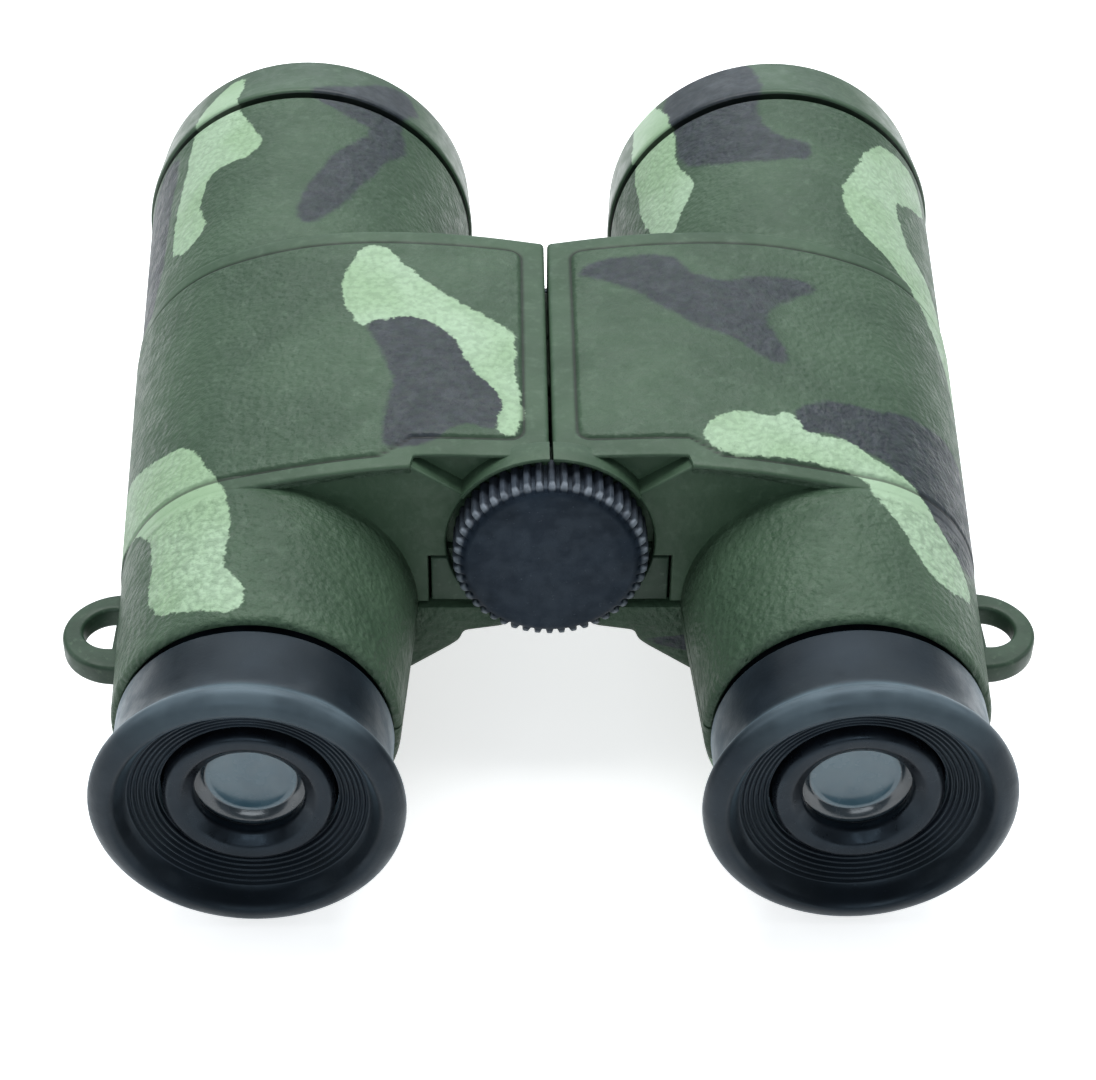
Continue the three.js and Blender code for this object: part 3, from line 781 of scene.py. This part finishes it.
def focus_knob():
    """A disc with rounded teeth that run out at a chamfer on its flat face."""
    columns = TEETH * COLUMNS_PER_TOOTH
    r = KNOB_RADIUS
    skirt = KNOB_FRONT - KNOB_BACK
    # Each row is a radius, a depth behind the face and how far the teeth are cut there, from 0 to 1.
    rows = [(0.01, 0.0, 0), (3.0, 0.0, 0), (6.0, 0.0, 0), (9.2, 0.0, 0), (9.5, 0.03, 0),
            (9.75, 0.14, 0), (9.9, 0.2, 0.12), (10.2, 0.26, 0.6), (10.6, 0.42, 0.95),
            (10.88, 0.72, 1), (r, 1.15, 1), (r, 2.0, 1), (r, skirt - 0.4, 1), (r - 0.1, skirt - 0.1, 1),
            (r - 0.4, skirt, 0.8), (9.3, skirt, 0), (9.2, skirt - 0.1, 0), (9.2, 2.7, 0), (9.0, 2.6, 0),
            (0.01, 2.6, 0)]
    grid = []
    for radius, depth, tooth in rows:
        row = []
        for i in range(columns):
            a = 2 * math.pi * i / columns
            crest = min(1, max(0, 0.6 + 0.8 * math.cos(TEETH * a)))
            crest = crest * crest * (3 - 2 * crest)
            reach = radius - TOOTH_DEPTH * tooth * (1 - crest)
            row.append((reach * math.cos(a), KNOB_BACK + depth, HINGE_Z + reach * math.sin(a)))
        grid.append(row)
    shape = Shape()
    shape.grid(grid, loop=True, caps=True)
    make("focus_wheel", shape, "focus_knob_body", MATERIALS["knob"],
         ["focus_knob"], "right", 50)


def hinge_cap():
    back, front = span("hinge_cap", 1)
    profile = [(0, back), (4.4, back), (4.4, front - 0.9), (3.4, front - 0.2), (1.5, front),
               (1.1, front - 0.5), (0, front - 0.5)]
    shape = Shape()
    turned(shape, rounded(profile, 0.3, 4), x=0, z=HINGE_Z, steps=64)
    make("hinge_end_cap", shape, "core", MATERIALS["plastic"], ["hinge_cap"])


# ---------------- materials

def rgb(red, green, blue):
    """An sRGB colour, 0-255, as a linear one."""
    channels = [c / 255 for c in (red, green, blue)]
    return tuple(c / 12.92 if c <= 0.04045 else ((c + 0.055) / 1.055) ** 2.4 for c in channels) + (1,)


class Surface:
    """A node material with one Principled shader, and short ways to add nodes."""

    def __init__(self, name, **settings):
        self.material = bpy.data.materials.new(name)
        self.material.use_nodes = True
        self.tree = self.material.node_tree
        self.shader = self.tree.nodes["Principled BSDF"]
        self.place = self.add("ShaderNodeTexCoord").outputs["Object"]
        for socket, value in settings.items():
            self.shader.inputs[socket.replace("_", " ")].default_value = value

    def add(self, kind, inputs=None, **settings):
        node = self.tree.nodes.new(kind)
        for key, value in settings.items():
            setattr(node, key, value)
        for key, value in (inputs or {}).items():
            if isinstance(value, bpy.types.NodeSocket):
                self.tree.links.new(value, node.inputs[key])
            else:
                node.inputs[key].default_value = value
        return node

    def noise(self, size, detail=2, roughness=0.5):
        """Noise from 0 to 1 with features about size millimetres across."""
        scale = 1 / (size * MM)
        node = self.add("ShaderNodeTexNoise", {"Vector": self.place, "Scale": scale,
                                               "Detail": detail, "Roughness": roughness})
        return node.outputs["Fac"]

    def cells(self, size):
        """Distance to the nearest cell centre, for pebbled grain."""
        node = self.add("ShaderNodeTexVoronoi", {"Vector": self.place, "Scale": 1 / (size * MM)},
                        feature="SMOOTH_F1")
        return node.outputs["Distance"]

    def attribute(self, name):
        return self.add("ShaderNodeAttribute", attribute_name=name).outputs["Fac"]

    def math(self, operation, a, b=0.0, c=0.0):
        return self.add("ShaderNodeMath", {0: a, 1: b, 2: c}, operation=operation).outputs[0]

    def ramp(self, value, low, high, start=0.0, end=1.0):
        node = self.add("ShaderNodeMapRange", {"Value": value, "From Min": low, "From Max": high,
                                               "To Min": start, "To Max": end},
                        interpolation_type="SMOOTHSTEP")
        return node.outputs["Result"]

    def mix(self, factor, a, b):
        node = self.add("ShaderNodeMix", data_type="RGBA")
        for index, value in ((0, factor), (6, a), (7, b)):
            if isinstance(value, bpy.types.NodeSocket):
                self.tree.links.new(value, node.inputs[index])
            else:
                node.inputs[index].default_value = value
        return node.outputs[2]

    def bump(self, height, depth, strength=1.0):
        """Bump of that many millimetres."""
        node = self.add("ShaderNodeBump", {"Height": height, "Strength": strength,
                                           "Distance": depth * MM})
        self.connect("Normal", node.outputs["Normal"])

    def connect(self, socket, value):
        self.tree.links.new(value, self.shader.inputs[socket])


OLIVE, OLIVE_DEEP, OLIVE_PALE = rgb(71, 95, 74), rgb(59, 82, 63), rgb(88, 111, 91)
LIGHT, LIGHT_PALE = rgb(154, 185, 149), rgb(172, 200, 170)
DARK, DARK_PALE = rgb(42, 48, 56), rgb(58, 64, 72)
# painted shade for the grooves and the joint behind the ring
PAINTED_GROOVE_SHADE = rgb(12, 18, 14)
# painted highlight for the top of the rubber lip
PAINTED_LIP_HIGHLIGHT = rgb(92, 106, 114)


def camouflage(name, grain, shine, wear, line=0.85):
    """Printed camouflage on moulded plastic: olive, with ragged light and dark blotches."""
    s = Surface(name, Specular_IOR_Level=0.3)
    slow, fine, speck = s.noise(14, 3), s.noise(1.5, 4, 0.6), s.noise(0.42, 2)
    olive = s.mix(s.ramp(slow, 0.35, 0.65), OLIVE_DEEP, OLIVE)
    olive = s.mix(s.ramp(fine, 0.5, 0.75, 0, 0.55), olive, OLIVE_PALE)
    ragged = s.math("MULTIPLY_ADD", s.math("SUBTRACT", fine, 0.5), 1.5,
                    s.math("MULTIPLY", s.math("SUBTRACT", speck, 0.5), 0.9))
    wander = s.math("MULTIPLY", s.math("SUBTRACT", s.noise(5, 2), 0.5), 1.6)
    dark_edge = s.math("ADD", s.math("ADD", s.attribute("dark"), wander),
                       s.math("MULTIPLY", ragged, 0.7))
    light_edge = s.math("ADD", s.math("ADD", s.attribute("light"), s.math("MULTIPLY", wander, 0.6)),
                        s.math("MULTIPLY", ragged, 0.85))
    dark = s.mix(s.ramp(fine, 0.4, 0.7), DARK, DARK_PALE)
    light = s.mix(s.ramp(slow, 0.35, 0.65), LIGHT, LIGHT_PALE)
    light = s.mix(s.ramp(speck, 0.62, 0.8, 0, 0.3), light, OLIVE_PALE)
    colour = s.mix(s.ramp(dark_edge, -0.35, 0.5, 0, 0.97), olive, dark)
    colour = s.mix(s.ramp(light_edge, -0.12, 0.2, 0, 0.98), colour, light)
    grained = s.attribute("grain")
    pebble = s.math("ADD", s.math("MULTIPLY", s.cells(0.75), 1.1), s.noise(0.55, 3, 0.6))
    # painted shade: the pebble grain's hollows are darkened toward the deep olive
    hollow = s.math("MULTIPLY", s.ramp(pebble, 0.75, 1.25), s.math("MULTIPLY", grained, 0.3))
    colour = s.mix(hollow, colour, OLIVE_DEEP)
    # painted shade: the groove and joint mask darkens the colour nearly to black
    colour = s.mix(s.math("MULTIPLY", s.attribute("line"), line), colour, PAINTED_GROOVE_SHADE)
    s.connect("Base Color", colour)
    s.bump(s.math("MULTIPLY", pebble, grained), grain, 1.0)
    s.connect("Roughness", s.ramp(s.noise(2.2, 4, 0.65), 0.3, 0.7, shine - wear, shine + wear))
    return s.material


def green_plastic():
    """The unprinted moulded green of the lugs and arms."""
    s = Surface("green_plastic", Specular_IOR_Level=0.28)
    colour = s.mix(s.ramp(s.noise(5, 3), 0.35, 0.65), rgb(46, 66, 52), rgb(60, 81, 65))
    s.connect("Base Color", s.mix(s.ramp(s.noise(0.8, 3), 0.55, 0.75, 0, 0.4), colour, OLIVE_PALE))
    s.connect("Roughness", s.ramp(s.noise(2, 3), 0.3, 0.7, 0.36, 0.52))
    s.bump(s.noise(0.7, 3), 0.05, 0.5)
    return s.material


def from_axis(s, x, z):
    """Radius from the axis at (x, z), height over it and distance from the lips, in mm."""
    split = s.add("ShaderNodeSeparateXYZ", {"Vector": s.place})
    across = s.math("SUBTRACT", s.math("ABSOLUTE", split.outputs["X"]), x * MM)
    up = s.math("SUBTRACT", split.outputs["Z"], AXIS_Z + z * MM)
    ahead = s.math("SUBTRACT", split.outputs["Y"], LIP_Y)
    radius = s.math("SQRT", s.math("ADD", s.math("POWER", across, 2.0), s.math("POWER", up, 2.0)))
    return [s.math("MULTIPLY", value, 1 / MM) for value in (radius, up, ahead)]


def rubber():
    """Soft black rubber with a blue-grey sheen, and a painted highlight on top of the flared lip."""
    s = Surface("black_rubber", Specular_IOR_Level=0.34, Sheen_Weight=0.4, Sheen_Roughness=0.35,
                Sheen_Tint=rgb(178, 208, 226), Specular_Tint=rgb(196, 220, 238))
    colour = s.mix(s.ramp(s.noise(7, 3), 0.35, 0.7), rgb(9, 13, 19), rgb(18, 24, 32))
    dust = s.ramp(s.noise(0.6, 3, 0.7), 0.62, 0.8, 0, 0.35)
    colour = s.mix(dust, colour, rgb(52, 61, 72))
    radius, up, forward_of_lip = from_axis(s, BARREL_X, 0)
    # painted highlight: the up-facing flare of the lip, near its rim, turned pale grey-blue
    lip_highlight = s.math("MULTIPLY", s.ramp(up, 7.5, 14.2), s.ramp(radius, 13.8, 14.6))
    lip_highlight = s.math("MULTIPLY", lip_highlight, s.ramp(forward_of_lip, 3.4, 4.8, 1, 0.06))
    lip_highlight = s.math("MULTIPLY", lip_highlight, s.ramp(s.noise(6, 3), 0.3, 0.7, 0.6, 1.0))
    s.connect("Base Color", s.mix(lip_highlight, colour, PAINTED_LIP_HIGHLIGHT))
    s.connect("Roughness", s.ramp(s.noise(3, 4, 0.6), 0.3, 0.7, 0.32, 0.5))
    s.bump(s.noise(0.45, 3, 0.6), 0.03, 0.5)
    return s.material


def black_plastic():
    """The moulded black plastic of the lens cells, tubes and inner parts."""
    s = Surface("black_plastic", Specular_IOR_Level=0.35, Specular_Tint=rgb(190, 216, 238))
    colour = s.mix(s.ramp(s.noise(4, 3), 0.35, 0.7), rgb(11, 14, 19), rgb(24, 28, 34))
    s.connect("Base Color", colour)
    s.connect("Roughness", s.ramp(s.noise(1.6, 3), 0.3, 0.7, 0.25, 0.42))
    s.bump(s.noise(0.5, 2), 0.02, 0.4)
    return s.material


def knob_plastic():
    """Matte blue-black face with scuffs; painted highlights on the front ends of the teeth."""
    s = Surface("knob_plastic", Specular_IOR_Level=0.32, Specular_Tint=rgb(190, 216, 238))
    radius, _, behind = from_axis(s, 0, HINGE_Z)
    colour = s.mix(s.ramp(s.noise(5, 3), 0.35, 0.7), rgb(18, 25, 35), rgb(30, 39, 51))
    disc = s.ramp(radius, 7.3, 8.1, 0.35, 0.0)
    colour = s.mix(disc, colour, rgb(46, 53, 64))
    scuff = s.ramp(s.noise(0.5, 3, 0.7), 0.64, 0.8, 0, 0.5)
    colour = s.mix(scuff, colour, rgb(96, 104, 116))
    # painted highlight: pale grey on the teeth's ends nearest the face
    near_face = s.ramp(behind, KNOB_BACK + 0.5, KNOB_BACK + 1.1, 1.0, 0.12)
    painted_teeth_highlight = s.math("MULTIPLY", s.ramp(radius, 10.0, 10.5), near_face)
    painted_teeth_highlight = s.math("MULTIPLY", painted_teeth_highlight, s.ramp(s.noise(1.1, 2), 0.3, 0.6, 0.5, 1.0))
    colour = s.mix(painted_teeth_highlight, colour, rgb(150, 158, 168))
    s.connect("Base Color", colour)
    s.connect("Roughness", s.ramp(s.noise(1.6, 3), 0.3, 0.7, 0.42, 0.62))
    s.bump(s.noise(0.4, 3, 0.6), 0.03, 0.6)
    return s.material


def eye_glass():
    """The eye lens: a grey-blue disc inside a darker bevel."""
    s = Surface("eye_glass", Specular_IOR_Level=0.6, Coat_Weight=0.4, Coat_Roughness=0.08)
    radius = from_axis(s, BARREL_X, 0)[0]
    disc = s.mix(s.ramp(s.noise(5, 2), 0.35, 0.65), rgb(88, 122, 138), rgb(106, 138, 152))
    bevel = s.mix(s.ramp(s.noise(3, 2), 0.35, 0.65), rgb(48, 60, 68), rgb(64, 76, 84))
    edge = s.ramp(radius, EYE_DISC_RADIUS - 0.15, EYE_DISC_RADIUS + 0.1)
    s.connect("Base Color", s.mix(edge, disc, bevel))
    s.connect("Roughness", s.ramp(s.noise(2, 3), 0.3, 0.7, 0.16, 0.3))
    s.bump(s.noise(5, 1), 0.01, 0.2)
    return s.material


def objective_glass():
    """The coated objective, seen against the dark tube."""
    s = Surface("objective_glass", Specular_IOR_Level=0.4, Coat_Weight=0.3, Coat_Roughness=0.04,
                Coat_Tint=rgb(196, 206, 255))
    s.connect("Base Color", s.mix(s.ramp(s.noise(14, 2), 0.35, 0.65), rgb(12, 15, 26), rgb(22, 28, 44)))
    s.connect("Roughness", s.ramp(s.noise(5, 3), 0.3, 0.7, 0.08, 0.18))
    s.bump(s.noise(14, 1), 0.01, 0.2)
    return s.material


def steel(name, tint, dark):
    """Turned metal, lightly stained."""
    s = Surface(name, Metallic=0.95)
    s.connect("Base Color", s.mix(s.ramp(s.noise(1.5, 3), 0.35, 0.65), tint, dark))
    s.connect("Roughness", s.ramp(s.noise(0.8, 3), 0.3, 0.7, 0.28, 0.48))
    s.bump(s.noise(0.4, 2), 0.01, 0.4)
    return s.material


MATERIALS = {
    "camouflage": camouflage("camouflage", 0.22, 0.5, 0.09),
    "ring": camouflage("camouflage_ring", 0.1, 0.38, 0.07),
    "green": green_plastic(),
    "rubber": rubber(),
    "plastic": black_plastic(),
    "knob": knob_plastic(),
    "eye_glass": eye_glass(),
    "objective_glass": objective_glass(),
    "steel": steel("steel", rgb(158, 160, 164), rgb(120, 123, 128)),
    "zinc": steel("zinc_screw", rgb(150, 148, 138), rgb(112, 111, 104)),
}

# CAD nodes that stay as they are, with the finish each one gets.
KEPT_NODES = {
    "hinge_axle": "steel", "focus_nut": "steel", "focus_screw": "steel", "retaining_ring": "steel",
    "focus_bush": "plastic",
}
KEPT_PER_SIDE = {"lens_retainer": "plastic", "light_baffle": "plastic", "rear_shell_screw": "zinc",
                 "front_shell_screw": "zinc"}


def finish_cad_nodes():
    """Procedural finishes and softened edges on the CAD nodes that stay visible."""
    names = dict(KEPT_NODES)
    for side in ("left", "right"):
        names.update({f"{side}_{node}": finish for node, finish in KEPT_PER_SIDE.items()})
    for name, finish in names.items():
        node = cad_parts[name]
        node.data.materials.clear()
        node.data.materials.append(MATERIALS[finish])
        bevel = node.modifiers.new("soft_edges", "BEVEL")
        bevel.width, bevel.segments = 0.1 * MM, 2
        bevel.limit_method, bevel.angle_limit = "ANGLE", math.radians(40)


# ---------------- stage

def matte(name, low, high):
    """An even surface that glows a little, so that its shadows stay pale."""
    s = Surface(name, Specular_IOR_Level=0.1, Roughness=0.9, Emission_Color=(1, 1, 1, 1),
                Emission_Strength=0.68)
    s.connect("Base Color", s.mix(s.ramp(s.noise(60, 2), 0.3, 0.7), low, high))
    return s.material


def floor():
    """A wide pale floor, tipped so that the lips and the front rings rest on it."""
    lip_low = span("right_eyecup", 2)[0]
    ring_low_z = span("right_front_ring", 2)[0]
    slope = (ring_low_z - lip_low) / (RING_BACK - 1)
    size, gap = 2500, 0.2
    corners = [(-size, -size), (size, -size), (size, size), (-size, size)]
    shape = Shape()
    shape.add([(x, y, lip_low + slope * y - gap) for x, y in corners], [(0, 1, 2, 3)])
    mesh = bpy.data.meshes.new("floor")
    mesh.from_pydata([to_frame(*p) for p in shape.points], [], shape.faces)
    mesh.materials.append(matte("floor", rgb(244, 247, 248), rgb(250, 252, 252)))
    plane = bpy.data.objects.new("floor", mesh)
    bpy.context.scene.collection.objects.link(plane)
    plane.visible_diffuse = False  # keeps the floor's light off the undersides


def lamp(name, place, target, size, power, colour=(1, 1, 1)):
    data = bpy.data.lights.new(name, "AREA")
    data.shape, data.size, data.size_y, data.energy, data.color = "RECTANGLE", *size, power, colour
    light = bpy.data.objects.new(name, data)
    light.location = place
    light.rotation_euler = (Vector(target) - Vector(place)).to_track_quat("-Z", "Y").to_euler()
    bpy.context.scene.collection.objects.link(light)


def lights():
    lamp("top_soft", (0.0, 0.35, 0.85), (0, 0, 0), (0.9, 0.6), 8.4)
    lamp("back_strip", (0.0, 0.95, 0.4), (0, 0, 0.02), (1.4, 0.3), 2.6, (0.9, 0.96, 1))
    lamp("left_soft", (-0.8, 0.0, 0.45), (0, 0, 0), (0.4, 0.6), 1.8, (0.93, 0.97, 1))
    lamp("right_soft", (0.8, 0.0, 0.45), (0, 0, 0), (0.4, 0.6), 1.8, (0.93, 0.97, 1))
    lamp("front_fill", (-0.1, -0.9, 0.55), (0, 0, 0), (0.6, 0.3), 2.1, (0.86, 0.94, 1))
    world = bpy.data.worlds.new("studio")
    world.use_nodes = True
    world.node_tree.nodes["Background"].inputs["Color"].default_value = rgb(236, 242, 246)
    world.node_tree.nodes["Background"].inputs["Strength"].default_value = 0.2
    bpy.context.scene.world = world
    bpy.context.scene.view_settings.view_transform = "Standard"


def camera():
    """Looks forward and down from behind the eyecups."""
    place = (-0.005797, -0.240549, 0.202736)
    pitch, yaw, roll = math.radians(38.787), math.radians(1.488), math.radians(0.87)
    ahead = Vector((math.sin(yaw) * math.cos(pitch), math.cos(yaw) * math.cos(pitch),
                    -math.sin(pitch)))
    right = ahead.cross(Vector((0, 0, 1))).normalized()
    up = right.cross(ahead)
    x_axis = right * math.cos(roll) + up * math.sin(roll)
    y_axis = up * math.cos(roll) - right * math.sin(roll)
    data = bpy.data.cameras.new("camera")
    data.lens, data.sensor_width = 79.67, 36
    data.clip_start, data.clip_end = 0.01, 20
    view = bpy.data.objects.new("camera", data)
    turn = Matrix((x_axis, y_axis, -ahead)).transposed().to_4x4()
    view.matrix_world = Matrix.Translation(place) @ turn
    bpy.context.scene.collection.objects.link(view)
    bpy.context.scene.camera = view


# ---------------- the object

for half in ("left", "right"):
    upper_shell(half)
    lower_shell(half)
    front_ring(half)
    strap_lug(half)
    objective_lens(half)
    eyecup(half)
    ocular_ring(half)
    eye_lens(half)
    eyepiece_tube(half)
    focus_arm(half)
focus_knob()
hinge_cap()
finish_cad_nodes()
floor()
lights()
camera()
